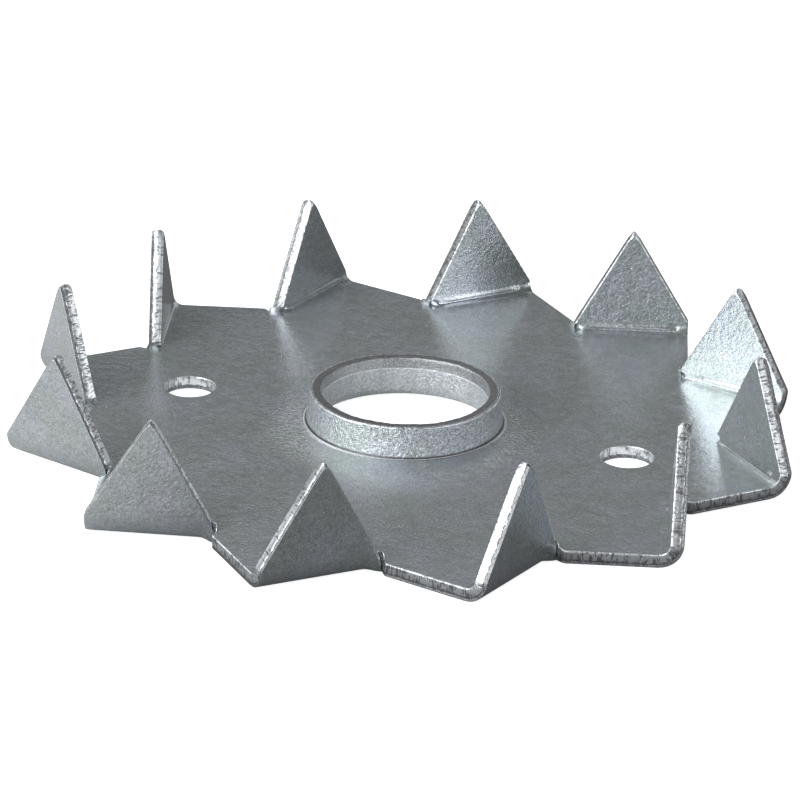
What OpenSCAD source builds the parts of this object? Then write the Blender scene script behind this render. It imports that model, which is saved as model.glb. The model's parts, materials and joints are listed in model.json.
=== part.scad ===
// Single-sided toothed plate connector for timber joints, pressed from one sheet:
// a flat disc with a drawn collar for the bolt, two nail holes and a ring of bent-up teeth.
// Millimetres. The underside lies on z = 0, the bolt axis is Z and the nail holes lie on X.
//
// The blank is notched all round. Each notch leaves a straight cut edge that runs square
// to the next tooth's bend, so a bend runs from an outer corner to the root of a notch, and
// the whole ring of bends is swirled round the axis.

/* [Sheet] */
// Thickness of the sheet
sheet_t = 1.25; // [1:0.05:1.5]
// Inside radius of the tooth bends
bend_inner_r = 1.25; // [0.8:0.05:1.6]

/* [Disc] */
// Width across the outermost corners
overall_d = 77; // [64:1:96]
// Angle from a tooth's outer corner round to the direction that the tooth faces
swirl = 45.7; // [41:0.1:49]

/* [Teeth] */
// Number of teeth
tooth_count = 12; // [11:1:13]
// Height of the tips above the underside
tooth_h = 11.8; // [9.4:0.1:16]
// How far the tip stands off the middle of its root, along the bend
tip_shift = 0.4; // [-1:0.1:1]
// Width of the blunt tip
tip_w = 0.6; // [0.3:0.1:1]
// Lean of the teeth outwards from upright, in degrees
tooth_lean = 2; // [0:0.5:4]
// Length over which a bend runs out into the root of the notch beside it
runout_l = 2; // [1:0.1:3]

/* [Collar] */
// Diameter of the bolt hole
bolt_hole_d = 16.2; // [12.2:0.1:20.2]
// Height of the collar's rim above the underside
collar_h = 4.3; // [3.5:0.1:5.5]
// Thickness of the collar's wall at the rim
rim_wall = 0.9; // [0.7:0.05:1.1]
// How much further out the collar's foot stands than its rim
collar_draft = 0.85; // [0.4:0.05:1.2]
// Radius where the underside turns up into the bolt hole
entry_r = 1.5; // [0.8:0.1:2]

/* [Nail holes] */
// Diameter of the nail holes
nail_hole_d = 5; // [4:0.1:6]
// Distance between the centres of the two nail holes
nail_spacing = 44.8; // [37:0.1:54]

/* [Hidden] */

// Cutters reach this far past the faces that they cut
reach = 1;
// Facets of round shapes, which stand for true circles
round_fn = 96;

bend_r = bend_inner_r + sheet_t;
tooth_step = 360 / tooth_count;

// A tooth's own frame: n points the way that the tooth faces, u runs along its bend,
// and both start from the bolt axis.
face_n = overall_d / 2 * cos(swirl);
corner_u = -overall_d / 2 * sin(swirl);
// The root of the notch: where the next tooth's cut edge crosses this tooth's face
notch_u = (face_n * sin(tooth_step) + corner_u) / cos(tooth_step);
bend_n = face_n - bend_r;
// Where the cut edge beside a tooth starts, at the root of the notch before it
cut_start_n = face_n * cos(tooth_step) + notch_u * sin(tooth_step);
// Length of the flat strip behind a bend, which carries that cut edge
strip_l = bend_n - cut_start_n + reach;
// Run of a bend's outer line along u, for each millimetre of n, as it runs out into the notch
runout_slope = runout_l / bend_r;

tip_u = (corner_u + notch_u) / 2 + tip_shift;
// Run of the right side of a tooth along u, for each millimetre that it drops
right_slope = (notch_u - tip_u - tip_w / 2) / (tooth_h - bend_r);

foot_r = bolt_hole_d / 2 + rim_wall + collar_draft;
rim_r = bolt_hole_d / 2 + rim_wall;

function turned(p, a) = [p[0] * cos(a) - p[1] * sin(a), p[0] * sin(a) + p[1] * cos(a)];

function tooth_angle(i) = swirl + i * tooth_step;

// A point on the line along which a bend runs out into the notch, at distance n
function runout(n) = [n, notch_u - runout_slope * (face_n - n)];

// The flat disc inside the bends. Its edge lies under the teeth, apart from the runouts.
function disc_outline() = [
    for (i = [0:tooth_count - 1])
    for (p = [[bend_n - reach, corner_u + reach], runout(bend_n - reach), runout(face_n + reach)])
    turned(p, tooth_angle(i))
];

// Section of the sheet through a bend, in the (n, z) plane
module bend_section() {
    translate([bend_n, 0]) {
        translate([-strip_l, 0])
        square([strip_l, sheet_t]);
        translate([0, bend_r]) {
            intersection() {
                difference() {
                    circle(r = bend_r, $fn = round_fn);
                    circle(r = bend_inner_r, $fn = round_fn);
                }
                polygon([
                    [0, 0],
                    [0, -2 * bend_r],
                    [2 * bend_r, -2 * bend_r],
                    [2 * bend_r * cos(tooth_lean), -2 * bend_r * sin(tooth_lean)]
                ]);
            }
            rotate(-tooth_lean)
            translate([bend_inner_r, 0])
            square([sheet_t, tooth_h]);
        }
    }
}

// Outline of a tooth seen square to its face, in the (u, z) plane, down to the underside
module tooth_outline() {
    polygon([
        [corner_u, 0],
        [notch_u + right_slope * bend_r, 0],
        [tip_u + tip_w / 2, tooth_h],
        [tip_u - tip_w / 2, tooth_h],
        [corner_u, bend_r]
    ]);
}

// One tooth with its bend and the flat strip behind it, whose side is the notch's cut edge.
// It faces +X.
module tooth() {
    intersection() {
        // along u
        translate([0, notch_u + bend_r, 0])
        rotate([90, 0, 0])
        linear_extrude(notch_u - corner_u + 2 * bend_r)
        bend_section();

        // along n
        translate([bend_n - strip_l - reach, 0, 0])
        rotate([90, 0, 90])
        linear_extrude(strip_l + tooth_h)
        tooth_outline();
    }
}

// The drawn collar, tapering from its foot on the disc to its rim
module collar() {
    translate([0, 0, sheet_t])
    cylinder(r1 = foot_r, r2 = rim_r, h = collar_h - sheet_t, $fn = round_fn);
}

// The bolt hole, with the rounded entry that drawing the collar leaves on the underside
module bolt_hole() {
    translate([0, 0, -reach])
    cylinder(d = bolt_hole_d, h = collar_h + 2 * reach, $fn = round_fn);
    rotate_extrude($fn = round_fn)
    translate([bolt_hole_d / 2, 0])
    difference() {
        translate([-reach, -reach])
        square([entry_r + reach, entry_r + reach]);
        translate([entry_r, entry_r])
        circle(r = entry_r, $fn = round_fn);
    }
}

module nail_hole() {
    translate([0, 0, -reach])
    cylinder(d = nail_hole_d, h = sheet_t + 2 * reach, $fn = round_fn);
}

module connector_plate() {
    color([0.56, 0.57, 0.58])
    difference() {
        union() {
            linear_extrude(sheet_t)
            polygon(disc_outline());
            for (i = [0:tooth_count - 1])
                rotate([0, 0, tooth_angle(i)])
                tooth();
            collar();
        }
        bolt_hole();
        for (side = [-1, 1])
            translate([side * nail_spacing / 2, 0, 0])
            nail_hole();
    }
}

connector_plate();
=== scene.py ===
# %% [markdown]
# # A single-sided toothed plate connector
# A toothed plate connector is pressed from one piece of zinc-coated steel sheet: a flat disc
# with a drawn collar for the bolt, two nail holes and a ring of triangular teeth bent up
# round the rim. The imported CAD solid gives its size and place. What it leaves plain is the
# look of a pressing: edges with a rolled and a torn side, bends that run out into the
# notches, the crease that the bending punch leaves, and a grainy zinc surface.
#
# The frame comes first, with its box, because every size below starts from it.

# %% Frame
import json
import math
import bmesh
import bpy
import numpy as np
from mathutils import Matrix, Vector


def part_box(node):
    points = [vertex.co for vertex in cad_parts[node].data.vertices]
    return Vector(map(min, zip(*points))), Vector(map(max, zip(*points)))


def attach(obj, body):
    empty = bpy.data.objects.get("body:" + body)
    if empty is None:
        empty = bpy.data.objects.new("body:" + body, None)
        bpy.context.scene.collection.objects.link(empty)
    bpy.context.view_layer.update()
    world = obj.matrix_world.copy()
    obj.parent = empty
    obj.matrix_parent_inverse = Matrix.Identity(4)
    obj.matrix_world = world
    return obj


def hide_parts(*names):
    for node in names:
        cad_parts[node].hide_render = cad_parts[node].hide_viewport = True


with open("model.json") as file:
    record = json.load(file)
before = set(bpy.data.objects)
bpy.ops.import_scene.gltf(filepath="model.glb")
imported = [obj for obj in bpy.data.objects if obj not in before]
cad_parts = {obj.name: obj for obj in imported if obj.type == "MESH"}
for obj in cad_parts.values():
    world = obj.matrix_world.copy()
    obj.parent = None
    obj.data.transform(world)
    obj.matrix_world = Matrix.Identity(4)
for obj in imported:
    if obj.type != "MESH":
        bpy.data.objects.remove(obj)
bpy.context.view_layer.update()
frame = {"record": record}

MM = 0.001
NODE = "connector_plate"
low, high = (np.array(corner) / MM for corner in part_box(NODE))
mounts = {mount["name"]: mount for mount in frame["record"]["mounts"]}
print("CAD box in mm:", low.round(3), high.round(3))

# %% [markdown]
# ## The sizes of the pressing
# The script works in millimetres and turns to metres when a mesh is made. The overall
# sizes and the holes are read from the frame. The sheet's own values, such as its
# thickness and the swirl of the bends, are the ones that the CAD part is drawn with.

# %% Sizes
OVERALL_D = high[0] - low[0]
TOOTH_H = high[2]
BOLT_R = mounts["bolt_hole"]["dims"]["r_mm"]
NAIL_R = mounts["nail_holes"]["dims"]["hole_r_mm"]
NAIL_X = mounts["nail_holes"]["dims"]["spacing_x_mm"] / 2

SHEET_T = 1.25
BEND_R = 2.5  # outside radius of the bends
SWIRL = math.radians(45.7)
LEAN = math.radians(2)
TEETH = 12
STEP = 2 * math.pi / TEETH

FACE_N = OVERALL_D / 2 * math.cos(SWIRL)
CORNER_U = -OVERALL_D / 2 * math.sin(SWIRL)
NOTCH_U = (FACE_N * math.sin(STEP) + CORNER_U) / math.cos(STEP)
CUT_START_N = FACE_N * math.cos(STEP) + NOTCH_U * math.sin(STEP)
print(f"a tooth's face lies {FACE_N:.2f} mm out, and its bend is {NOTCH_U - CORNER_U:.2f} mm long")

# %% [markdown]
# ## Folding the sheet
# Each tooth is drawn in its own frame: n points the way that the tooth faces, u runs along
# its bend and z is up. Two skins make the sheet: the outer one is the underside, which
# becomes the tooth's outer face, and the inner one is the top. Both follow one section: a
# flat run, an arc, and a straight leg that leans out a little. A skin is given by its depth
# below the outer face, 0 or the sheet's thickness, and the arc by the radius rho of the
# outer face round the same centre. So one function draws both, with any bend radius.

# %% Section of a bend
SLOPE = math.tan(LEAN)
SEAT = (1 - math.sin(LEAN)) / math.cos(LEAN)
TURN = math.pi / 2 - LEAN
LEG_N = FACE_N - BEND_R + BEND_R * SEAT


def leg_n(z, depth):
    """n on the straight leg at height z: the outer face's line, less the depth square to it."""
    return LEG_N - depth / math.cos(LEAN) + SLOPE * z


def bend_point(share, rho, depth):
    """n and z at a share of the bend's turn, on the arc of radius rho - depth: the centre lies
    rho above the underside, at the n that makes the leg's outer face touch the arc."""
    radius = rho - depth
    angle = share * TURN
    return LEG_N - rho * SEAT + radius * np.sin(angle), rho - radius * np.cos(angle)


def smooth(x):
    """A ramp from 0 to 1 with level ends: 3 x^2 - 2 x^3, with x held between 0 and 1."""
    x = np.clip(x, 0, 1)
    return x * x * (3 - 2 * x)


print(f"the bend turns {math.degrees(TURN):.0f} degrees, and the leg's outer face starts at "
      f"n = {bend_point(1, BEND_R, 0)[0]:.2f} mm")

# %% [markdown]
# ## Where the bend changes along its length
# On the real pressing the bend isn't even. It is widest at the outer corner and tightens
# along its length, and over the last millimetre and a half its outside runs out to a sharp
# line at the root of the notch, because the sheet beside it stays flat. The metal of the
# inner side gathers there, so its radius grows again. The columns across a tooth lie
# closest where the shape changes most, and each skin has its own radius at each column.

# %% Columns across a tooth
ROOT_U = -15.62
BEND_START_R = 2.3  # outside radius at the outer corner
BEND_TIGHTENS = 0.065  # loss of radius for each millimetre along the bend
RUNOUT = 1.5
ROOT_SWELL = 0.5  # growth of the inner skin's radius at the root
SHARP_R = 0.05  # what is left of the outer radius there
columns = np.array([0, 0.25, 0.65, 1.05, 1.25, 1.5, 2.4, 3.6, 5, 6.4, 7.6, 8.6, 9.4, 10.1, 10.6, 11,
                    11.35, 11.65, ROOT_U - CORNER_U])
across = columns / columns[-1]
inner_rho = BEND_START_R - BEND_TIGHTENS * columns
root_pull = smooth((columns - columns[-1] + RUNOUT) / RUNOUT)  # how far the root shapes a column
outer_rho = inner_rho + (SHARP_R - inner_rho) * root_pull
swell = ROOT_SWELL * smooth((columns - columns[-1] + 2.2) / 2.0)
bend_rho = {0: outer_rho, SHEET_T: inner_rho + swell}
print("outer bend radius, corner to root:", outer_rho.round(2))

# %% [markdown]
# ## The sides and the tip of a tooth
# The left side stands on the notch's cut edge up to a shoulder and then slopes to the tip.
# The right side comes down into the notch's root. The two lines would meet in an apex, a
# little above the tooth. The tip is rounded by the circle that touches both of them and
# has its top at the full height of the tooth.

# %% Sides and tip
APEX_Z = TOOTH_H + 0.26
APEX_U = -21.5
SHOULDER_Z = 2.3
ROOT_TURN = 6  # how sharply the right side turns upright at the root, for each millimetre
LEFT_RUN = (APEX_U - CORNER_U) / (APEX_Z - SHOULDER_Z)
RIGHT_RUN = (NOTCH_U - APEX_U) / (APEX_Z - BEND_R)


def left_u(z):
    """u of the left side: the cut edge up to the shoulder, then a line to the apex."""
    return np.maximum(CORNER_U, APEX_U - LEFT_RUN * (APEX_Z - z))


def right_u(z):
    """u of the right side: a line down from the apex, held below ROOT_U by a soft minimum,
    ROOT_U - log(1 + exp(k (ROOT_U - line))) / k."""
    line = APEX_U + RIGHT_RUN * (APEX_Z - z)
    return ROOT_U - np.log1p(np.exp((ROOT_U - line) * ROOT_TURN)) / ROOT_TURN


left_angle = math.atan(LEFT_RUN)
right_angle = math.atan(RIGHT_RUN)
half_angle = (left_angle + right_angle) / 2
bisector = (left_angle - right_angle) / 2
TIP_R = (APEX_Z - TOOTH_H) / (math.cos(bisector) / math.sin(half_angle) - 1)
tip_reach = TIP_R / math.sin(half_angle)
tip_u = APEX_U - tip_reach * math.sin(bisector)
tip_z = APEX_Z - tip_reach * math.cos(bisector)
print(f"tip radius {TIP_R:.3f} mm, top of the tip at {tip_z + TIP_R:.3f} mm")

# %% [markdown]
# ## One sharp outline, drawn twice
# The blank's edge is one closed line. For one tooth it runs along the cut edge, up the left
# side, over the tip, down the right side and round the notch's root, where the next tooth's
# cut edge starts. It is worked out on both skins with the same number of points, so that
# the sheared wall between them can be ruled from one to the other. At the root the inner
# skin stays flat nearly as far as the tooth's face and then climbs steeply.

# %% Steps along the outline
CUT_STEPS = 17
FOOT_STEPS = 4
LEG_STEPS = 18
ROOT_STEPS = 5
FOOT_Z = 3.0
bend_share = np.array([0, 0.13, 0.26, 0.36, 0.43, 0.48, 0.52, 0.57, 0.64, 0.74, 0.87, 1])
foot_share = np.linspace(0, 1, FOOT_STEPS + 1)
leg_share = 1 - (1 - np.linspace(0, 1, LEG_STEPS + 1)) ** 1.35
BEND_STEPS = len(bend_share) - 1
print("steps: cut edge", CUT_STEPS, "bend", BEND_STEPS, "foot", FOOT_STEPS, "leg", LEG_STEPS,
      "root", ROOT_STEPS)

# %% Curve through the notch's root
ROOT_RELIEF = 1.15  # length along the cut edge that the notch's root takes
ROOT_EASE = 0.35  # how far the root's curve keeps to the cut edge's direction
ROOT_PATH = np.array([(26.95, -15.5, 0.08), (26.95, -15.42, 0.6), (26.3, -15.4, 0.95)])  # above the top


def root_end():
    """Where the notch's root meets the next tooth's cut edge, as (n, u) in this tooth's frame."""
    n, u = CUT_START_N + ROOT_RELIEF, CORNER_U
    return (n * math.cos(STEP) - u * math.sin(STEP), n * math.sin(STEP) + u * math.cos(STEP))


def bezier(points, count):
    """count + 1 points on the Bezier curve of the given control points, by repeated mixing."""
    share = np.linspace(0, 1, count + 1)[:, None]
    level = [np.asarray(point, float)[None] for point in points]
    while len(level) > 1:
        level = [a * (1 - share) + b * share for a, b in zip(level, level[1:])]
    return level[0]


print("the root meets the next cut edge at", np.round(root_end(), 2))

# %% Sides of a tooth on a skin
def tooth_sides(depth):
    """Left and right sides from the bend's start to the tip's arc, and the arc, as (n, u, z)."""
    ends = []
    for side, u_of in ((0, left_u), (-1, right_u)):
        n, z = bend_point(bend_share, bend_rho[depth][side], depth)
        bend = np.stack([n, u_of(z), z], 1)
        z = z[-1] + (FOOT_Z - z[-1]) * foot_share
        foot = np.stack([leg_n(z, depth), u_of(z), z], 1)
        tangent = left_angle if side == 0 else -right_angle
        z_end = tip_z + TIP_R * math.sin(abs(tangent))
        u_end = tip_u - TIP_R * math.cos(tangent) * (1 if side == 0 else -1)
        z = FOOT_Z + (z_end - FOOT_Z) * leg_share
        u = u_of(FOOT_Z) + (u_end - u_of(FOOT_Z)) * leg_share
        leg = np.stack([leg_n(z, depth), u, z], 1)
        ends.append([bend, foot, leg])
    if depth:
        top = ends[1][0][-1]
        ends[1][0] = bezier([*(ROOT_PATH + (0, 0, depth)), top + (0.02, 0.06, -0.45), top], BEND_STEPS)
    angle = math.pi - left_angle + (right_angle - (math.pi - left_angle)) * across
    z = tip_z + TIP_R * np.sin(angle)
    tip = np.stack([leg_n(z, depth), tip_u + TIP_R * np.cos(angle), z], 1)
    return ends[0], ends[1], tip


print("the inner skin's tip lies at", tooth_sides(SHEET_T)[2][len(across) // 2].round(2))

# %% Outline of one tooth on a skin
def outline(depth):
    """The sharp edge of one skin from the root before a tooth to the root after it."""
    left, right, tip = tooth_sides(depth)
    cut = np.linspace((CUT_START_N + ROOT_RELIEF, CORNER_U, depth), left[0][0], CUT_STEPS + 1)
    n, u = root_end()
    start = right[0][0]
    leaves = (start[0] + 0.4, start[1] - 0.02, depth)
    arrives = (n - ROOT_EASE * math.cos(STEP), u - ROOT_EASE * math.sin(STEP), depth)
    root = bezier([start, leaves, arrives, (n, u, depth)], ROOT_STEPS)
    down = [part[::-1] for part in reversed(right)]
    return np.concatenate([part[:-1] for part in (cut, *left, tip, *down, root)])


sharp = {depth: outline(depth) for depth in (0, SHEET_T)}
PATH = len(sharp[0])
print(f"{PATH} points along the edge of each tooth")

# %% [markdown]
# ## The ring of teeth
# Turning the outline by each tooth's angle gives the whole edge. The same turn takes any
# patch from a tooth's frame to its place, and the way back is needed too. The sheared wall's
# normal comes from two directions at each point: along the edge, and across the sheet.

# %% Ring and wall normals
def in_tooth_frames(points):
    """A ring of points brought into the frame of each tooth, as (tooth, point, 3)."""
    parts = points.reshape(TEETH, -1, 3)
    angle = SWIRL + STEP * np.arange(TEETH)
    n = parts[..., 0] * np.cos(angle)[:, None] + parts[..., 1] * np.sin(angle)[:, None]
    u = parts[..., 1] * np.cos(angle)[:, None] - parts[..., 0] * np.sin(angle)[:, None]
    return np.stack([n, u, parts[..., 2]], 2)


def from_tooth_frames(parts):
    """The way back: points (tooth, ..., 3) turned to where each tooth stands."""
    angle = (SWIRL + STEP * np.arange(TEETH)).reshape((TEETH,) + (1,) * (parts.ndim - 2))
    x = parts[..., 0] * np.cos(angle) - parts[..., 1] * np.sin(angle)
    y = parts[..., 0] * np.sin(angle) + parts[..., 1] * np.cos(angle)
    return np.stack([x, y, parts[..., 2]], -1)


def unit(vectors):
    """The vectors, each divided by its length."""
    return vectors / np.linalg.norm(vectors, axis=-1, keepdims=True)


ring = {depth: from_tooth_frames(np.broadcast_to(sharp[depth], (TEETH, PATH, 3))).reshape(-1, 3)
        for depth in sharp}
middle = (ring[0] + ring[SHEET_T]) / 2
along = unit(np.roll(middle, -1, 0) - np.roll(middle, 1, 0))
thick = ring[SHEET_T] - ring[0]
wall_normal = unit(np.cross(along, thick))
span = np.linalg.norm(thick, axis=1)
edge_run = np.concatenate([[0], np.cumsum(np.linalg.norm(np.diff(middle, axis=0), axis=1))])
EDGE_LENGTH = edge_run[-1] + np.linalg.norm(middle[0] - middle[-1])
print(f"the edge is {EDGE_LENGTH:.0f} mm round, its sheet {span.min():.2f} to {span.max():.2f} mm thick")

# %% [markdown]
# ## A sheared edge
# A shear leaves a rolled edge on the side that the punch enters, a bright burnished band
# below it and a rough torn band on the far side. The wall is a profile carried along the
# edge: an arc at each skin, and between them the wall, which steps back where it is torn.
# Two closed random lines keep it from looking machined: one wrinkles the torn band, the
# other lifts and lowers the border between the bands.

# %% Profile of the sheared wall
ROLL_R = {0: 0.06, SHEET_T: 0.09}
TORN = 0.32  # share of the thickness that is torn
TEAR_AT, TEAR_W = 0.26, 0.13  # middle and width of the tear, in shares of the thickness
corner = np.linspace(0, math.pi / 2, 4)


def wall_profile():
    """Height across the sheet and step back from the wall, at each row from the outer skin up."""
    rise = [ROLL_R[0] * (1 - np.cos(corner)), SHEET_T - ROLL_R[SHEET_T] * (1 - np.cos(corner[::-1]))]
    back = [ROLL_R[0] * (1 - np.sin(corner)), ROLL_R[SHEET_T] * (1 - np.sin(corner[::-1]))]
    band = SHEET_T * np.array([0.16, 0.27, TORN - 0.03, TORN + 0.03, 0.6, 0.78])
    torn = np.array([0.045, 0.05, 0.035, 0.0, 0.0, 0.0])
    return (np.concatenate([rise[0], band, rise[1]]), np.concatenate([back[0], torn, back[1]]))


rise, back = wall_profile()
share = rise / SHEET_T
print("rows across the sheared wall:", len(rise))

# %% Sheared wall
def ripple(run, waves, seed):
    """A closed random line: sines with whole numbers of waves round the edge, summed."""
    dice = np.random.default_rng(seed)
    phase = dice.uniform(0, 2 * math.pi, len(waves))
    weight = dice.uniform(0.6, 1, len(waves))
    total = sum(w * np.sin(2 * math.pi * k * run / EDGE_LENGTH + p)
                for k, p, w in zip(waves, phase, weight))
    return total / np.sqrt(len(waves) / 2)


def hump(x, middle, width):
    """A bell curve: exp(-((x - middle) / width)^2)."""
    return np.exp(-((x - middle) / width) ** 2)


inside = np.sin(math.pi * share)  # 0 at both skins, so that the skins keep their edges
tear = ripple(edge_run, range(180, 620, 37), 3)[:, None] * hump(share, TEAR_AT, TEAR_W) * inside
band_shift = ripple(edge_run, range(90, 380, 29), 5)[:, None] * hump(share, TORN, 0.12) * inside
shares = share + 0.035 * band_shift
walls = (ring[0][:, None] + thick[:, None] * shares[..., None]
         - wall_normal[:, None] * (back + 0.018 * tear)[..., None])
walls[..., 2] = np.maximum(walls[..., 2], 0)
skin_edge = {0: walls[:, 0], SHEET_T: walls[:, -1]}
print(f"the tear is up to {0.018 * np.abs(tear).max():.3f} mm deep")

# %% [markdown]
# ## The skins of a tooth
# Each skin of a tooth is a grid: rows up the section, columns across. The bend and the foot
# are ruled from side to side. Above them a Coons patch fills the triangle: it adds the
# surfaces ruled between opposite sides and takes away the bilinear one between the corners.
# Towards the root the columns are drawn along with the edge, so that no step is left there.
# The punch leaves a fine crease along the middle of the inner bend. It stops short of the
# outer corner, where it turns up in a small hook.

# %% Crease of the punch
CREASE_W = 0.13
CREASE_DEPTH = 0.11
HOOK = 1.25  # distance from the outer corner to the end of the crease


def crease_depth(share, radius):
    """Depth of the punch's crease at each row and column of the inner bend: a groove along
    the middle of the turn with a lower lip above it, and the hook at its outer end."""
    away = (share[:, None] - 0.5) * TURN * radius / CREASE_W
    line = hump(away, 0, 1) - 0.75 * hump(away, 2.2, 1.2)
    length = smooth((columns - HOOK + 0.1) / 0.3) * (1 - smooth((columns - 9.9) / 0.9))
    hook = hump(columns, HOOK, 0.14) * smooth(away / 1.5) * (1 - smooth((away - 4) / 2))
    return CREASE_DEPTH * (line * length + hook)


dent = crease_depth(bend_share, bend_rho[SHEET_T] - SHEET_T)
print(f"the crease runs from {dent.min():.2f} to {dent.max():.2f} mm deep")

# %% Tooth skins
SIDE_ROWS = BEND_STEPS + FOOT_STEPS + LEG_STEPS


def tooth_skins(depth):
    """Grids of every tooth's skin in its own frame, between its already rounded edges."""
    edge = in_tooth_frames(skin_edge[depth])
    left = edge[:, CUT_STEPS:CUT_STEPS + SIDE_ROWS + 1]
    tip = edge[:, CUT_STEPS + SIDE_ROWS:CUT_STEPS + SIDE_ROWS + len(across)]
    right = edge[:, CUT_STEPS + SIDE_ROWS + len(across) - 1:][:, SIDE_ROWS::-1]

    n, z = bend_point(bend_share[:, None], bend_rho[depth], depth)
    if depth:
        angle = bend_share[:, None] * TURN
        n, z = n + dent * np.sin(angle), z - dent * np.cos(angle)
    foot_z = z[-1] + (FOOT_Z - z[-1]) * foot_share[1:, None]
    z = np.concatenate([z, foot_z])
    n = np.concatenate([n, leg_n(foot_z, depth)])
    rows = len(z)
    u = left[:, :rows, None, 1] * (1 - across) + right[:, :rows, None, 1] * across
    foot = np.stack([np.broadcast_to(n, u.shape), u, np.broadcast_to(z, u.shape)], 3)

    v, a = leg_share[1:, None, None], across[:, None]
    sides = left[:, rows:, None, 1:] * (1 - a) + right[:, rows:, None, 1:] * a
    top = left[:, -1, None, 1:] * (1 - a) + right[:, -1, None, 1:] * a
    patch = sides + (tip[:, None, :, 1:] - top[:, None]) * v
    leg = np.concatenate([leg_n(patch[..., 1:], depth), patch], 3)
    grid = np.concatenate([foot, leg], 1)
    grid[:, :rows] += root_pull[:, None] * (right[:, :rows] - grid[:, :rows, -1])[:, :, None]
    grid[:, :, 0], grid[:, :, -1], grid[:, -1] = left, right, tip
    return grid


tooth_grids = {depth: tooth_skins(depth) for depth in (0, SHEET_T)}
print("a tooth's skin has", tooth_grids[0].shape[1:3], "points")

# %% [markdown]
# ## The disc
# The flat of the disc is a polar grid. Its columns end on the outline, and its rows change
# from circles round the collar to the shape of the outline. A block of cells round each
# nail hole is left out and filled by rings that turn from the block's outline to a circle.

# %% Outline of the disc
SECTOR = len(across) - 1 + ROOT_STEPS + CUT_STEPS
COLUMNS = TEETH * SECTOR


def disc_outline(depth):
    """Points round the flat of one skin: along each bend's start, then the root and the cut edge."""
    grid = from_tooth_frames(tooth_grids[depth][:, 0, :-1])
    edge = skin_edge[depth].reshape(TEETH, PATH, 3)
    root = edge[:, -ROOT_STEPS:]
    cut = np.roll(edge, -1, 0)[:, :CUT_STEPS]
    return np.concatenate([grid, root, cut], 1).reshape(-1, 3)


print("points round the disc:", COLUMNS)

# %% Disc grid
ROUND_END = 27.2
NAIL_ZONE = 17.0
COLLAR_ROWS, NAIL_ROWS, RIM_ROWS = 8, 14, 7
MARGIN = 0.12  # the row next to an edge keeps this far from it
PLATE_R = {0: 9.75, SHEET_T: 10.75}  # where the flat gives way to the hole's entry, or the collar


def disc_grid(depth):
    """Rows of (x, y, z): circles from the collar out to the nail holes and on to the rim zone,
    then rings that blend in radius and angle to the outline."""
    edge = disc_outline(depth)
    edge_r = np.hypot(edge[:, 0], edge[:, 1])
    edge_a = np.unwrap(np.arctan2(edge[:, 1], edge[:, 0]))
    even_a = SWIRL + 2 * math.pi * (np.arange(COLUMNS) / COLUMNS - 0.125)
    edge_a += 2 * math.pi * round((even_a[0] - edge_a[0]) / (2 * math.pi))
    radii = np.concatenate([np.linspace(PLATE_R[depth], NAIL_ZONE, COLLAR_ROWS + 1)[:-1],
                            np.linspace(NAIL_ZONE, ROUND_END, NAIL_ROWS + 1)])
    blend = np.linspace(0, 1, RIM_ROWS + 1)[1:, None]
    outer_rows = ROUND_END + (edge_r - MARGIN - ROUND_END) * blend
    r = np.concatenate([np.repeat(radii[:, None], COLUMNS, 1), outer_rows, edge_r[None]])
    turn = np.concatenate([np.zeros((len(radii), 1)), smooth(blend), [[1.0]]])
    a = even_a + (edge_a - even_a) * turn
    grid = np.stack([r * np.cos(a), r * np.sin(a), np.full_like(r, depth)], 2)
    grid[-1] = edge
    return grid


discs = {depth: disc_grid(depth) for depth in (0, SHEET_T)}
print("the disc's grid has", discs[0].shape[:2], "points")

# %% [markdown]
# ## The drawn collar
# Drawing stretches the sheet into a short tapering tube. Outside, its foot leaves a fine
# groove in the disc and pushes up a low ridge round it. The rim is a pierced edge, flat and
# rough, and so is a band just inside it. Below that the bore is smooth, down to the rounded
# entry underneath. The profile is turned about the axis; its radius and height waver
# slightly with the angle.

# %% Collar profile
COLLAR_H = 4.43
ENTRY_R = 1.5
FOOT_R = 9.52
RIDGE_R = 9.77
GROOVE_R = 9.55
RIM_R = 9.23
LIP_R = 0.15  # radius of the rim's outer lip
BREAK_Z = 3.4  # where the torn band of the bore ends


def arc(centre, radius, first, last, count):
    """count + 1 points on a circle's arc between two angles in degrees, as (r, z)."""
    angle = np.radians(np.linspace(first, last, count + 1))
    return np.stack([centre[0] + radius * np.cos(angle), centre[1] + radius * np.sin(angle)], 1)


top = SHEET_T
foot_line = np.array([(PLATE_R[top], top), (10.1, top), (9.94, top + 0.01), (9.88, top + 0.05),
                      (9.84, top + 0.09), (RIDGE_R, top + 0.11), (9.69, top + 0.09),
                      (9.63, top + 0.05), (9.58, top + 0.03), (9.53, top + 0.06),
                      (FOOT_R, top + 0.14)])
outer_wall = bezier([(FOOT_R, top + 0.14), (9.51, top + 0.35), (9.42, top + 1.0),
                     (9.29, top + 1.9), (RIM_R, COLLAR_H - 0.2)], 9)
lip = arc((RIM_R - LIP_R, COLLAR_H - LIP_R), LIP_R, 0, 90, 6)[1:]
rim_flat = np.array([(8.92, COLLAR_H - 0.005), (8.72, COLLAR_H - 0.01), (8.52, COLLAR_H - 0.015),
                     (8.3, COLLAR_H - 0.02), (8.17, COLLAR_H - 0.04)])
rim = np.concatenate([lip, rim_flat])
torn_bore = np.array([(8.13, 4.3), (8.13, 4.0), (8.125, 3.7), (8.12, 3.5), (8.105, BREAK_Z)])
bore = np.array([(BOLT_R, 3.3), (BOLT_R, 2.7), (BOLT_R, 2.1), (BOLT_R, ENTRY_R + 0.05)])
entry = arc((BOLT_R + ENTRY_R, ENTRY_R), ENTRY_R, 180, 270, 10)
collar_profile = np.concatenate([foot_line, outer_wall[1:], rim, torn_bore, bore, entry,
                                 [(PLATE_R[0], 0.0)]])
rim_first = len(foot_line) + len(outer_wall) - 1
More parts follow.
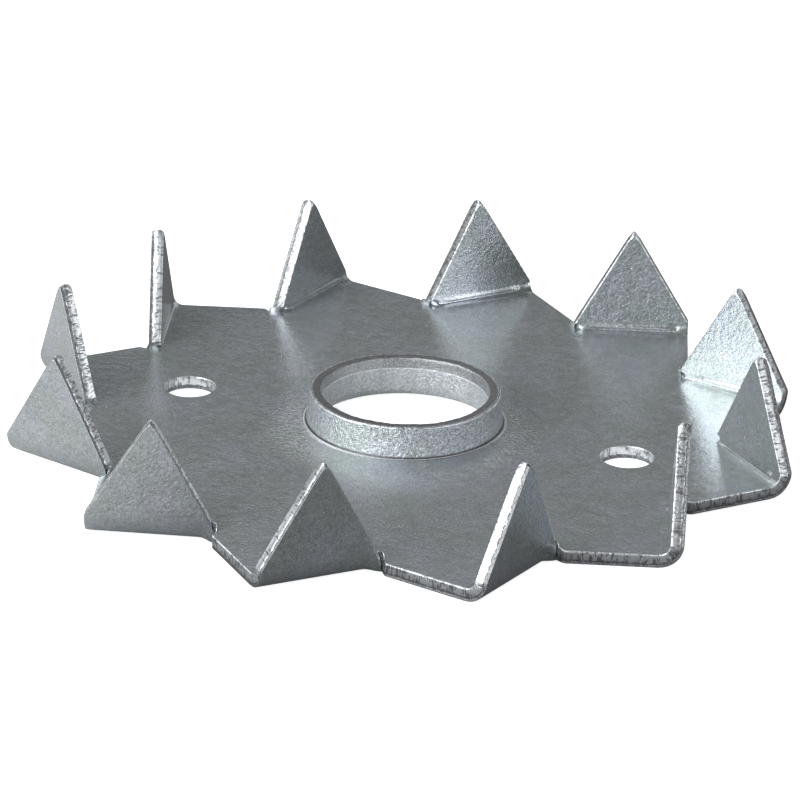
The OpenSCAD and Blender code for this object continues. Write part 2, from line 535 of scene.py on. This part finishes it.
bore_first = rim_first + len(rim) + len(torn_bore)
print(f"collar: {len(collar_profile)} points in its profile")

# %% Collar
def collar_grid():
    """The profile turned about z: (r cos a, r sin a, z). Small sums of sines of the angle are
    added to z and r, growing towards the rim, and finer ones to the torn band's radius."""
    a = np.arctan2(discs[0][0, :, 1], discs[0][0, :, 0])
    r, z = collar_profile[:, 0][:, None], collar_profile[:, 1][:, None]
    lift = smooth((z - 2.4) / 1.9)
    uneven = 0.035 * (np.sin(2 * a + 0.6) + 0.6 * np.sin(5 * a + 2) + 0.45 * np.sin(13 * a + 4)
                      + 0.3 * np.sin(37 * a) + 0.25 * np.sin(61 * a + 1))
    rim_wave = 0.02 * (np.sin(3 * a + 1) + 0.5 * np.sin(29 * a + 2) + 0.4 * np.sin(53 * a))
    z = z + lift * (uneven - 0.05)
    torn = hump(z, 3.8, 0.35) * (r < 8.3)
    r = r + lift * rim_wave * (r > 8.3) + torn * 0.01 * (np.sin(47 * a) + np.sin(83 * a + 2))
    return np.stack([r * np.cos(a), r * np.sin(a), z + 0 * a], 2)


collar = collar_grid()
print(f"the collar's rim is {collar[..., 2].max():.2f} mm high")

# %% [markdown]
# ## Putting the skin together
# Every patch is a grid of points, so one helper turns grids into quads. Each corner of a
# face also gets a place on the edge map: millimetres along the edge, and the share of the
# way across it. Faces of the sheared edges are marked, because they take another finish.

# %% Patches to one mesh
SHEET, SHEAR = 0, 1  # the two finishes
WELD = 0.0008  # points closer than this become one


class Skin:
    """Collects grids of points with their edge map and finish, to be welded into one mesh."""

    def __init__(self):
        self.points, self.quads, self.maps, self.finish = [], [], [], []
        self.count = 0

    def add(self, grid, finish=SHEET, run=None, cross=None, keep=None, close=False):
        """Adds a grid of (rows, columns, 3). run and cross are its edge map, keep drops cells,
        and close joins the last column to the first."""
        rows, cols = grid.shape[:2]
        index = self.count + np.arange(rows * cols).reshape(rows, cols)
        if close:
            index = np.concatenate([index, index[:, :1]], 1)
        quads = np.stack([index[:-1, :-1], index[:-1, 1:], index[1:, 1:], index[1:, :-1]], 2)
        wide = quads.shape[1]
        if run is None:
            run, cross = np.zeros(wide + 1), np.zeros(rows)
        place = np.stack(np.broadcast_arrays(run[None, :], cross[:, None]), 2)
        maps = np.stack([place[:-1, :-1], place[:-1, 1:], place[1:, 1:], place[1:, :-1]], 2)
        kept = np.ones(quads.shape[:2], bool) if keep is None else keep
        self.points.append(grid.reshape(-1, 3))
        self.quads.append(quads[kept])
        self.maps.append(maps[kept])
        self.finish.append(np.full(kept.sum(), finish))
        self.count += rows * cols

    def build(self, name, shape):
        """One mesh object in metres, with the points merged where patches meet and the faces
        pointing outwards. shape is a function that takes the points to their last places."""
        points = shape(np.concatenate(self.points)) * MM
        quads = np.concatenate(self.quads)
        mesh = bpy.data.meshes.new(name)
        mesh.from_pydata(points, [], quads.tolist())
        layer = mesh.uv_layers.new(name="edge_map")
        layer.uv.foreach_set("vector", np.concatenate(self.maps).astype(np.float32).ravel())
        mesh.polygons.foreach_set("material_index", np.concatenate(self.finish).astype(np.int32))
        mesh.polygons.foreach_set("use_smooth", np.ones(len(quads), bool))
        work = bmesh.new()
        work.from_mesh(mesh)
        bmesh.ops.remove_doubles(work, verts=work.verts, dist=WELD * MM)
        bmesh.ops.recalc_face_normals(work, faces=work.faces)
        open_edges = sum(not edge.is_manifold for edge in work.edges)
        print(f"{name}: {len(work.faces)} faces, {open_edges} open edges, "
              f"{work.calc_volume() / MM ** 3:.1f} mm3")
        work.to_mesh(mesh)
        work.free()
        piece = bpy.data.objects.new(name, mesh)
        bpy.context.scene.collection.objects.link(piece)
        return piece

# %% [markdown]
# ## Nail holes
# A nail hole is pierced, so its wall is a small sheared edge: rolled at the top, smooth
# below that and torn at the bottom. It is joined to the disc by the rings that fill the
# block of cells left out round it.

# %% Rings round a nail hole
NAIL_HALF = 14  # columns each side of the hole's centre
NAIL_FIRST, NAIL_LAST = COLLAR_ROWS + 2, COLLAR_ROWS + 13


def nail_centre_column(side):
    """Column of the disc's circles that passes nearest to a nail hole's centre."""
    row = discs[0][NAIL_FIRST]
    far = 50  # a point on X beyond the disc: the nearest column is the one that lies on X
    return int(np.argmin(np.hypot(row[:, 0] - side * far, row[:, 1])))


def block_loop(grid, centre):
    """Points round the block of cells, in order."""
    cols = (centre + np.arange(-NAIL_HALF, NAIL_HALF + 1)) % COLUMNS
    block = grid[NAIL_FIRST:NAIL_LAST + 1][:, cols]
    return np.concatenate([block[0, :-1], block[:-1, -1], block[-1, :0:-1], block[:0:-1, 0]])


def nail_ring(loop, side, radius, z):
    """A circle round the nail hole whose points lie towards the loop's points."""
    aim = np.arctan2(loop[:, 1], loop[:, 0] - side * NAIL_X)
    x, y = side * NAIL_X + radius * np.cos(aim), radius * np.sin(aim)
    return np.stack([x, y, np.full_like(aim, z)], 1)


print("columns nearest the nail holes:", [nail_centre_column(side) for side in (-1, 1)])

# %% A nail hole's patches
def add_nail_hole(skin, side):
    """Rings from the block to the circle on both skins, and the pierced wall between them."""
    centre = nail_centre_column(side)
    loops = {depth: block_loop(discs[depth], centre) for depth in discs}
    radii = {depth: NAIL_R + ROLL_R[depth] for depth in discs}
    for depth in discs:
        circle = nail_ring(loops[depth], side, radii[depth], depth)
        close = nail_ring(loops[depth], side, radii[depth] + MARGIN, depth)
        steps = np.linspace(0, 1, 5)[:, None, None]
        rings = np.concatenate([circle[None], close + (loops[depth] - close) * steps])
        skin.add(rings, SHEET, close=True)
    loop = loops[0]
    wavy = ripple(np.arange(len(loop)) * EDGE_LENGTH / len(loop), (3, 7, 11, 17, 23), 8 + side)
    bite = hump(share, TEAR_AT, TEAR_W)
    wall = np.stack([nail_ring(loop, side, NAIL_R + step, height)
                     for step, height in zip(back - 0.01 * bite, rise)])
    radial = unit(loop - (side * NAIL_X, 0, 0))
    radial[:, 2] = 0
    wall[1:-1] += (0.012 * bite[:, None] * wavy)[1:-1, :, None] * radial
    run = np.linspace(0, 2 * math.pi * NAIL_R, len(loop) + 1)
    skin.add(wall, SHEAR, run=run, cross=share, close=True)
    return centre

# %% [markdown]
# ## All the patches of the sheet
# The real part is one piece of sheet, so all its patches go into one skin: the sheared wall
# round the edge, the teeth and the disc on both sides, the nail holes, and the collar, whose
# rim and torn band take the sheared finish. Patches share their border points, and the
# welding joins them there, so the mesh comes out closed.

# %% Assembly
skin = Skin()
skin.add(np.swapaxes(walls, 0, 1), SHEAR, run=np.append(edge_run, EDGE_LENGTH), cross=share, close=True)
for depth in (0, SHEET_T):
    for tooth in from_tooth_frames(tooth_grids[depth]):
        skin.add(tooth)
nail_columns = [add_nail_hole(skin, side) for side in (-1, 1)]
cells = np.ones((len(discs[0]) - 1, COLUMNS), bool)
for centre in nail_columns:
    block = (centre + np.arange(-NAIL_HALF, NAIL_HALF)) % COLUMNS
    cells[NAIL_FIRST:NAIL_LAST, block] = False
for depth in (0, SHEET_T):
    skin.add(discs[depth], keep=cells, close=True)

around = np.linspace(0, 2 * math.pi * BOLT_R, COLUMNS + 1)
skin.add(collar[:rim_first + 1], close=True)
rim_rows = bore_first + 1 - rim_first
skin.add(collar[rim_first:bore_first + 1], SHEAR, run=around, close=True,
         cross=np.interp(np.arange(rim_rows), (0, 3, 4, rim_rows - 1), (1, 0.95, 0.2, 0.1)))
skin.add(collar[bore_first:], close=True)
print(f"{len(skin.points)} patches with {skin.count} points")

# %% [markdown]
# ## Small departures from the drawing
# Three things are left for the whole mesh, because they are smooth functions of a point's
# place: the tips, which the shear and the coating leave domed across the sheet; the teeth,
# which spring back by slightly different amounts; and the disc, which the drawing of the
# collar leaves raised by a fifth of a millimetre in the middle.

# %% Last places of the points
DOME = 0.28  # how far the tips' edges fall
DOME_FROM, DISH_FROM, DISH_W = 10.9, 9.9, 6.0
DISH = 0.2  # how far the middle of the disc is raised
TEETH_R, TOOTH_FOOT_Z = 20, 1.6  # where the teeth begin
FIRST_CORNER = 2.2  # degrees from X back to where the first tooth's sector begins
spring = np.random.default_rng(12).uniform(-1, 1, (TEETH, 3)) * (0.2, 0.1, 0.05)
print("the teeth's tips lean out by", spring[:, 0].round(2), "mm")


def as_pressed(points):
    """Domes the tips by |side|^2.5, where side runs from -1 to 1 across the sheet, leans and
    shifts each tooth by its own small amount, growing with height, and raises the middle of
    the disc."""
    x, y, z = points.T
    r = np.hypot(x, y)
    tooth = np.floor((np.degrees(np.arctan2(y, x)) + FIRST_CORNER) / (360 / TEETH)).astype(int) % TEETH
    angle = SWIRL + STEP * tooth
    n, u = x * np.cos(angle) + y * np.sin(angle), y * np.cos(angle) - x * np.sin(angle)
    outside = r > TEETH_R
    side = np.clip((leg_n(z, 0) - n) * math.cos(LEAN) / SHEET_T * 2 - 1, -1, 1)
    z = z - outside * DOME * np.abs(side) ** 2.5 * smooth((z - DOME_FROM) / 0.9)
    height = outside * np.clip((z - TOOTH_FOOT_Z) / (TOOTH_H - TOOTH_FOOT_Z), 0, 1)
    lean, shift, drop = spring[tooth].T
    n, u = n + lean * height ** 1.4, u + shift * height
    z = z - np.abs(drop) * height + DISH * (1 - smooth((r - DISH_FROM) / DISH_W)) ** 1.6
    return np.stack([n * np.cos(angle) - u * np.sin(angle), n * np.sin(angle) + u * np.cos(angle), z], 1)


plate = skin.build("toothed_plate", as_pressed)

# %% [markdown]
# ## Camera
# The view is from above the front, about 23 degrees up. The lens is long, so the far teeth
# look hardly smaller than the near ones. The camera's own axes are worked out first and
# then rolled by a little over a degree.

# %% Camera
AZIMUTH, ELEVATION, ROLL = math.radians(18.7), math.radians(23.28), math.radians(1.404)
DISTANCE, LENS, SENSOR = 374.65, 173.87, 36.0
SHIFT_RIGHT, SHIFT_UP = -0.404, 3.197
toward = np.array([math.sin(AZIMUTH) * math.cos(ELEVATION), -math.cos(AZIMUTH) * math.cos(ELEVATION),
                   math.sin(ELEVATION)])
right = unit(np.cross(-toward, (0, 0, 1)))
up = np.cross(right, -toward)
right, up = (right * math.cos(ROLL) + up * math.sin(ROLL), up * math.cos(ROLL) - right * math.sin(ROLL))
stand = toward * DISTANCE + right * SHIFT_RIGHT + up * SHIFT_UP
camera_data = bpy.data.cameras.new("camera")
camera_data.lens, camera_data.sensor_width = LENS, SENSOR
camera_data.clip_start, camera_data.clip_end = 0.01, 20
camera = bpy.data.objects.new("camera", camera_data)
bpy.context.scene.collection.objects.link(camera)
axes = np.stack([right, up, toward], 1).tolist()
rows = [(*row, position * MM) for row, position in zip(axes, stand)]
camera.matrix_world = Matrix([*rows, (0, 0, 0, 1)])
bpy.context.scene.camera = camera
print("camera at", stand.round(1), "mm")

# %% [markdown]
# ## Shader maths as expressions
# A finish is mostly sums and products of masks, and each of them is a node. So one small
# class wraps a socket, and arithmetic on it adds the Math nodes: 1 - mask is a node, and
# mask * noise is another. Colours and vectors go through Mix and Vector Math instead,
# because a Math node turns a colour grey. Every node is made by one method, which takes its
# settings first and then the values or links of its sockets.

# %% A value as an expression
class Value:
    """A socket in a node tree. Arithmetic on it adds Math nodes."""

    def __init__(self, tree, socket):
        self.tree, self.socket = tree, socket

    def math(self, operation, *others, swapped=False, clamp=False):
        """Adds a Math node on this value and the others. Swapped, this value comes last."""
        values = (*others, self) if swapped else (self, *others)
        settings = {"operation": operation, "use_clamp": clamp}
        return Shader(self.tree).node("ShaderNodeMath", settings, dict(enumerate(values)))

    def __add__(self, other):
        return self.math("ADD", other)

    def __sub__(self, other):
        return self.math("SUBTRACT", other)

    def __rsub__(self, other):
        return self.math("SUBTRACT", other, swapped=True)

    def __mul__(self, other):
        return self.math("MULTIPLY", other)

    def __truediv__(self, other):
        return self.math("DIVIDE", other)

    def __rtruediv__(self, other):
        return self.math("DIVIDE", other, swapped=True)

    __radd__, __rmul__ = __add__, __mul__

    def ramp(self, start, end):
        """Rises from 0 to 1 between two values, with soft ends."""
        return Shader(self.tree).node("ShaderNodeMapRange", {"interpolation_type": "SMOOTHSTEP"},
                                      {"Value": self, "From Min": start, "From Max": end})

    def band(self, start, full, fade, end):
        """Rises from 0 to 1 between the first two values and falls back between the others."""
        return self.ramp(start, full) * (1 - self.ramp(fade, end))

# %% Nodes of one tree
class Shader:
    """Builds one node tree."""

    def __init__(self, tree):
        self.tree = tree

    def node(self, kind, settings=None, sockets=None, output=0):
        """Adds a node: its settings first, then the values or links of its sockets by name or
        number. Gives one of its outputs."""
        node = self.tree.nodes.new(kind)
        for name, setting in (settings or {}).items():
            setattr(node, name, setting)
        for name, value in (sockets or {}).items():
            if isinstance(value, Value):
                self.tree.links.new(value.socket, node.inputs[name])
            else:
                node.inputs[name].default_value = value
        return Value(self.tree, node.outputs[output])

    def surface(self, shade, kind="ShaderNodeOutputMaterial"):
        """Ends the tree: the shade goes to its output."""
        self.tree.links.new(shade.socket, self.tree.nodes.new(kind).inputs["Surface"])

    def vector(self, operation, first, second, output=0):
        """A Vector Math node on two vectors."""
        return self.node("ShaderNodeVectorMath", {"operation": operation}, {0: first, 1: second}, output)

    def split(self, vector):
        """The x, y and z of a vector, as three values."""
        x = self.node("ShaderNodeSeparateXYZ", None, {0: vector})
        return [Value(self.tree, output) for output in x.socket.node.outputs]

    def millimetres(self):
        """Object coordinates in millimetres."""
        place = self.node("ShaderNodeTexCoord", output="Object")
        return self.node("ShaderNodeVectorMath", {"operation": "SCALE"}, {0: place, "Scale": 1 / MM})

    def noise(self, vector, scale, detail=2.0, roughness=0.5):
        """Noise between 0 and 1 at a scale in features for each millimetre."""
        return self.node("ShaderNodeTexNoise", None, {"Vector": vector, "Scale": scale,
                                                      "Detail": detail, "Roughness": roughness})

    def spots(self, place, scale, size, stretch):
        """Sparse small spots: 1 near the points of a Voronoi pattern drawn out by stretch."""
        drawn_out = self.vector("MULTIPLY", place, stretch)
        away = self.node("ShaderNodeTexVoronoi", None, {"Vector": drawn_out, "Scale": scale})
        return 1 - away.ramp(size * 0.5, size)

    def mix(self, share, first, second, blend="MIX"):
        """A colour that goes from the first to the second, or blends them another way."""
        return self.node("ShaderNodeMix", {"data_type": "RGBA", "blend_type": blend},
                         {0: share, 6: first, 7: second}, output=2)

    def bump(self, height, distance):
        """The normal that a height in shares of a distance in millimetres gives."""
        return self.node("ShaderNodeBump", None, {"Height": height, "Strength": 1.0,
                                                  "Distance": distance * MM})

# %% Empty trees and greys
def fresh(owner):
    """The emptied node tree of a material or a world."""
    owner.use_nodes = True
    owner.node_tree.nodes.clear()
    return Shader(owner.node_tree)


def grey(level, blue=0.04):
    """A nearly neutral colour, with a share of blue in place of red."""
    return (level * (1 - blue), level, level * (1 + blue), 1.0)


print("a middle grey:", np.round(grey(0.5), 3))

# %% [markdown]
# ## The zinc: where it differs
# The sheet was coated before it was pressed, so the zinc shows what was done to it. On the
# flat it is smooth. On the drawn collar it was stretched into a coarse grain, and less of it
# is left. The teeth lie between the two. These masks could be painted, but each place is
# simple to name by its distance from the axis, its height and the way that it faces.

# %% Masks on the zinc
zinc = bpy.data.materials.new("zinc_sheet")
shader = fresh(zinc)
place = shader.millimetres()
x, y, z = shader.split(place)
r = (x * x + y * y).math("SQRT")
normal_x, normal_y, _ = shader.split(shader.node("ShaderNodeNewGeometry", output="Normal"))
outer_face = ((x * normal_x + y * normal_y) / (r + 1)).ramp(0.3, 0.6) * r.ramp(20, 22)
drawn = 1 - r.ramp(FOOT_R - 0.02, FOOT_R + 0.04)
bore_wall = 1 - r.ramp(BOLT_R + 0.05, BOLT_R + 0.4)
break_line = (1 - r.ramp(8.2, 8.3)) * z.band(BREAK_Z - 0.1, BREAK_Z + 0.02, BREAK_Z + 0.06, BREAK_Z + 0.16)
upper_side = z.band(1.1, 1.2, 1.6, 1.72)
# Painted highlight on the ridge round the collar, and painted shade in the groove at its foot
ridge_highlight = r.band(RIDGE_R - 0.11, RIDGE_R - 0.06, RIDGE_R + 0.04, RIDGE_R + 0.1) * upper_side * 0.8
groove_shade = r.band(GROOVE_R - 0.09, GROOVE_R - 0.03, GROOVE_R + 0.02, GROOVE_R + 0.08) * upper_side
near_foot = (1 - r.ramp(11, 15)) * 0.5
# Painted highlight: a lighter ring on the flat round the collar's foot
foot_highlight = (1 - r.ramp(10.0, 12.6)) * (1 - drawn)
standing = z.ramp(1.7, 2.6)
print(zinc.name, "has", len(shader.tree.nodes), "nodes for its masks")

# %% [markdown]
# ## The zinc: noises and marks
# Clouds several millimetres across and patches of one millimetre come from the coating, and
# two finer noises make its grain. Light specks are painted glints of that grain. Handling
# leaves scratches and nicks, and a few dark pits. The bore is smeared lengthwise by the punch.

# %% Noises and marks of the zinc
cloud = shader.noise(place, 0.2, 3, 0.55)
patch = shader.noise(place, 1.0, 3, 0.6)
grain = shader.noise(place, 3.1, 2, 0.6)
fine = shader.noise(place, 6.5, 2, 0.6)
smear_place = shader.vector("MULTIPLY", place, (1.0, 1.0, 0.2))
smear = (shader.noise(smear_place, 0.5, 3, 0.6) - 0.5) * bore_wall
# Light specks: painted glints of the zinc's grain, with a small bump
glint_speck = shader.spots(place, 0.42, 0.045, (1.0, 1.0, 1.0))
scratch = shader.spots(place, 0.5, 0.035, (0.16, 1.4, 1.0))
nick = shader.spots(place, 0.33, 0.03, (1.2, 0.2, 0.7))
pit = shader.spots(place, 0.55, 0.05, (1.1, 0.9, 1.0)) * (1 - drawn)
print(zinc.name, "has", len(shader.tree.nodes), "nodes with its noises")

# %% [markdown]
# ## The zinc: colour
# Zinc is a middle grey that leans to blue, with a greener tint in its clouds. The noises make
# it darker or lighter by up to 30 percent, and then the marks are laid over it: light in the
# scratches and nicks, on the bore and at the end of its torn band, with painted glints in the
# specks and painted highlights on the ridge and in a ring round the collar's foot; dark in the
# pits, with painted shade in the groove round the collar.

# %% Colour of the zinc
grainy = drawn + near_foot * 0.8 + standing * 0.2 + 0.8
grain_tone = ((grain - 0.5) * 1.1 + (fine - 0.5) * 2.2) * grainy
cloud_tone = (cloud - 0.5) * 0.4 + (patch - 0.5) * 0.5 + smear * 2.5
tone = (cloud_tone + grain_tone - drawn * 0.1 + 0.5).math("ADD", 0.0, clamp=True)
tint = shader.mix(cloud.ramp(0.35, 0.65), (0.455, 0.5, 0.5, 1), (0.47, 0.5, 0.54, 1))
coating = shader.mix(1.0, tint, shader.mix(tone, grey(0.7, 0), grey(1.3, 0)), "MULTIPLY")
# Light marks are wear plus painted glints and highlights; dark marks are pits plus painted shade in the
# groove
wear_and_glints = (glint_speck + scratch * 0.5 + nick * 0.5).math("MINIMUM", 1.0)
wear_and_highlights = (wear_and_glints + bore_wall * 0.2 + foot_highlight * 0.15 + ridge_highlight + break_line * 0.6).math("MINIMUM", 1.0)
pits_and_shade = (groove_shade * 0.9 + pit * 0.5).math("MINIMUM", 1.0)
colour = shader.mix(pits_and_shade, shader.mix(wear_and_highlights, coating, grey(0.88)), grey(0.1))
print(zinc.name, "has", len(shader.tree.nodes), "nodes with its colour")

# %% [markdown]
# ## The zinc: gloss and relief
# The coating is a satin metal, duller on the collar. Its grain is far too fine to model, so
# a bump gives it, strong where the sheet was stretched and faint on the flat. The press
# leaves fine level lines along the foot of each tooth's outer face.

# %% Gloss and relief of the zinc
gloss = (patch - 0.5) * 0.12 + drawn * 0.08 - near_foot * (1 - drawn) * 0.1 + 0.22
rough = (drawn * 1.2 + near_foot * 0.7 + standing * 0.35 + 0.26) * (1 - ridge_highlight) * (1 - groove_shade)
fine_rough = drawn * 0.8 + near_foot * 0.5 + standing * 0.15 + 0.12
forming = shader.node("ShaderNodeCombineXYZ", None, {"Z": z, "X": (x + y) * 0.02})
lines = shader.noise(forming, 2.2, 1, 0.5) * z.band(1.4, 2.2, 3.2, 4.6) * outer_face
relief = (grain - 0.5) * rough + (fine - 0.5) * fine_rough + (patch - 0.5) * (standing * 0.3 + 0.35)
relief = relief + glint_speck * 0.5 + lines * 0.9
shader.surface(shader.node("ShaderNodeBsdfPrincipled", None, {
    "Base Color": colour, "Metallic": 0.8 - drawn * 0.15 - ridge_highlight * 0.35, "Roughness": gloss,
    "Normal": shader.bump(relief, 0.08)}))
plate.data.materials.append(zinc)
print(zinc.name, "has", len(shader.tree.nodes), "nodes in all")

# %% [markdown]
# ## Sheared steel: its bands
# The cut goes through the coating, so the edge is bare steel with a film of zinc drawn over
# it. The pattern follows the edge, so it reads the edge map: the run along the edge and the
# share of the way across. The burnished band has upright streaks. The torn band is darker
# and grainy, and an uneven border parts the two.

# %% Bands of the sheared steel
sheared = bpy.data.materials.new("sheared_edge")
shader = fresh(sheared)
place = shader.millimetres()
run, across_edge, _ = shader.split(shader.node("ShaderNodeUVMap", {"uv_map": "edge_map"}))
streak_place = shader.node("ShaderNodeCombineXYZ", None, {"X": run, "Y": across_edge * 0.35})
broad = shader.noise(streak_place, 1.3, 2, 0.5)
streak = shader.noise(streak_place, 4.2, 2, 0.6)
grain = shader.noise(place, 7.0, 3, 0.6)
border = (shader.noise(streak_place, 2.2, 2, 0.6) - 0.5) * 0.5 + TORN
torn = 1 - (across_edge - border).ramp(-0.05, 0.05)
bars = (streak * 0.65 + broad * 0.35).ramp(0.41, 0.52)
print(sheared.name, "has", len(shader.tree.nodes), "nodes for its bands")

# %% [markdown]
# ## Sheared steel: colour and relief
# Painted highlights stand for the light that catches the lines where the bands and the skins
# meet. They are fainter on the flat's edge than on the teeth. The collar's rim is the same kind
# of edge: its flat is dark and torn, with painted glints on its crest, and the torn band inside
# it is lighter.

# %% Colour and relief of the sheared steel
x, y, z = shader.split(place)
r = (x * x + y * y).math("SQRT")
at_rim = 1 - r.ramp(9.3, 10)
# Painted glints along the rim's crest
crest_glints = r.band(8.94, 8.98, 9.06, 9.1) * grain.ramp(0.42, 0.54)
in_bore = (1 - r.ramp(8.17, 8.24)) * at_rim * 0.6
on_tooth = z.ramp(1.3, 1.8) * 0.8 + 0.2
# Painted highlight lines at the border of the bands and along both skins
border_highlight = 1 - (across_edge - border - 0.05).math("ABSOLUTE").ramp(0.0, 0.07)
skin_highlight = across_edge.ramp(0.9, 0.94) + (1 - across_edge.ramp(0.02, 0.05)) * 0.4
highlight_lines = (border_highlight * 0.35 + skin_highlight * streak.ramp(0.35, 0.6) * 0.7) * on_tooth + crest_glints * 0.8
burnished = shader.mix(bars, grey(0.31), grey(0.88))
fracture = shader.mix(grain.ramp(0.3, 0.7) * (1 - at_rim * 0.4), grey(0.1), grey(0.42))
bore_tear = shader.mix(grain.ramp(0.35, 0.65), grey(0.35), grey(0.7))
fracture = shader.mix(in_bore, fracture, bore_tear)
bands = shader.mix(torn.math("MAXIMUM", in_bore), burnished, fracture)
relief = (bars - 0.5) * (1 - torn) * 0.7 + (grain - 0.5) * (torn * 1.2 + 0.3)
shader.surface(shader.node("ShaderNodeBsdfPrincipled", None, {
    "Base Color": shader.mix(highlight_lines.math("MINIMUM", 1.0), bands, grey(0.92)), "Metallic": 0.9,
    "Roughness": torn * 0.15 + 0.28, "Normal": shader.bump(relief, 0.035)}))
plate.data.materials.append(sheared)
print(sheared.name, "has", len(shader.tree.nodes), "nodes in all")

# %% [markdown]
# ## Floor
# The plate lies on white paper that fills the view. Its white comes from the paper's own
# shade for camera rays, so no lamp has to be turned up for it, and the shadow stays. What
# the metal mirrors is a room that isn't white all round, so for every other ray the paper
# carries painted light and shade: it goes from dark to light towards the window. Under the
# plate it is painted white, and glows more for glossy rays, in place of the plate's shade,
# because it is seen through the holes and mirrored in their walls.

# %% Floor
GLOSS_SHARE = 0.06  # how much of the white a reflection takes in
PAPER_WHITE = 0.85
FLOOR_HALF = 3.0
FLOOR_DROP = 0.0001  # keeps the paper and the underside from touching


def light_path(shader, name):
    """1 for rays of one kind, 0 for others."""
    return shader.node("ShaderNodeLightPath", output=name)


def backdrop_share(shader):
    """1 for camera and transmission rays, GLOSS_SHARE for glossy ones, 0 for the light itself."""
    return (light_path(shader, "Is Camera Ray") + light_path(shader, "Is Glossy Ray") * GLOSS_SHARE
            + light_path(shader, "Is Transmission Ray"))


corners = [(-1, -1, 0), (1, -1, 0), (1, 1, 0), (-1, 1, 0)]
floor_mesh = bpy.data.meshes.new("floor")
floor_mesh.from_pydata(np.array(corners) * FLOOR_HALF - (0, 0, FLOOR_DROP), [], [(0, 1, 2, 3)])
floor = bpy.data.objects.new("floor", floor_mesh)
bpy.context.scene.collection.objects.link(floor)

paper = bpy.data.materials.new("floor_paper")
shader = fresh(paper)
x, y, _ = shader.split(shader.millimetres())
# Painted light and shade on the paper for all but camera rays: dark away from the window, light towards it
floor_light_and_shade = shader.mix((x * -0.87 - y * 0.5).ramp(18, 46), (0.12, 0.12, 0.125, 1), (0.72, 0.72, 0.72, 1))
# Painted light under the plate: white paper, and a glow for glossy rays, where the plate's shade would fall
below = 1 - (x * x + y * y).math("SQRT").ramp(24, 27)
seen = (below + light_path(shader, "Is Camera Ray")).math("MINIMUM", 1.0)
matt = shader.node("ShaderNodeBsdfDiffuse", None, {
    "Color": shader.mix(seen, floor_light_and_shade, (PAPER_WHITE, PAPER_WHITE, PAPER_WHITE, 1))})
share_of_white = backdrop_share(shader) + below * light_path(shader, "Is Glossy Ray") * 0.22
white = shader.node("ShaderNodeEmission", None, {"Color": share_of_white * PAPER_WHITE})
shader.surface(shader.node("ShaderNodeAddShader", None, {0: matt, 1: white}))
floor_mesh.materials.append(paper)
print(f"floor of {2 * FLOOR_HALF:.0f} m, {FLOOR_DROP / MM:.1f} mm below the plate")

# %% [markdown]
# ## Studio light
# Bare metal shows its room more than its own colour, so the light is a room: soft bright
# patches in given directions, such as a large window on the left. Area lamps would do, but
# each patch is easier to place as a lobe of the world, strength * exp(k (cos - 1)), where cos
# is that of the angle to the patch's middle and k tells how narrow it is. The camera itself
# sees plain white in place of the room.

# %% Studio light
NARROW = 20
DIMMEST = 0.02  # light from where no patch is
LIGHTS = [  # azimuth and elevation in degrees, narrowness, strength
    ("window, low left", -137, 10, NARROW, 4.5),
    ("window, low front", -104, 10, NARROW, 4.8),
    ("window, middle", -137, 32, NARROW, 2.2),
    ("window, high", -137, 52, NARROW, 1.8),
    ("front, high", -119, 33, 2 * NARROW, 5.5),
    ("left wall", 170, 52, NARROW, 1.6),
    ("left", 150, 32, NARROW, 0.5),
    ("back, high", 122, 50, 1.5 * NARROW, 2.0),
    ("back, low", 75, 10, NARROW, 1.0),
    ("right, low", -15, 10, NARROW, 4.1),
    ("right, back", 45, 20, NARROW, 0.5),
]
world = bpy.data.worlds.new("studio")
bpy.context.scene.world = world
shader = fresh(world)
way = shader.node("ShaderNodeTexCoord")


def lobe(azimuth, elevation, narrowness, strength):
    """strength * exp(narrowness * (cos - 1)) round a direction."""
    a, e = math.radians(azimuth), math.radians(elevation)
    axis = (math.cos(a) * math.cos(e), math.sin(a) * math.cos(e), math.sin(e))
    cos = shader.vector("DOT_PRODUCT", way, axis, output="Value")
    return ((cos - 1) * narrowness).math("EXPONENT") * strength


lobes = [lobe(*light[1:]) for light in LIGHTS]
room = shader.node("ShaderNodeBackground", None, {"Color": sum(lobes[1:], lobes[0] + DIMMEST)})
white = shader.node("ShaderNodeBackground", None, {"Color": (1, 1, 1, 1)})
seen = shader.node("ShaderNodeMixShader", None, {0: backdrop_share(shader), 1: room, 2: white})
shader.surface(seen, "ShaderNodeOutputWorld")
print("the room has", len(lobes), "bright patches")

# %% [markdown]
# ## Handing the plate over
# The plate is one rigid piece, so it rides on the one body of the frame and stands for the
# whole CAD part.

# %% Hand over
bpy.context.scene.view_settings.view_transform = "Standard"
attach(plate, "root")
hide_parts(NODE)
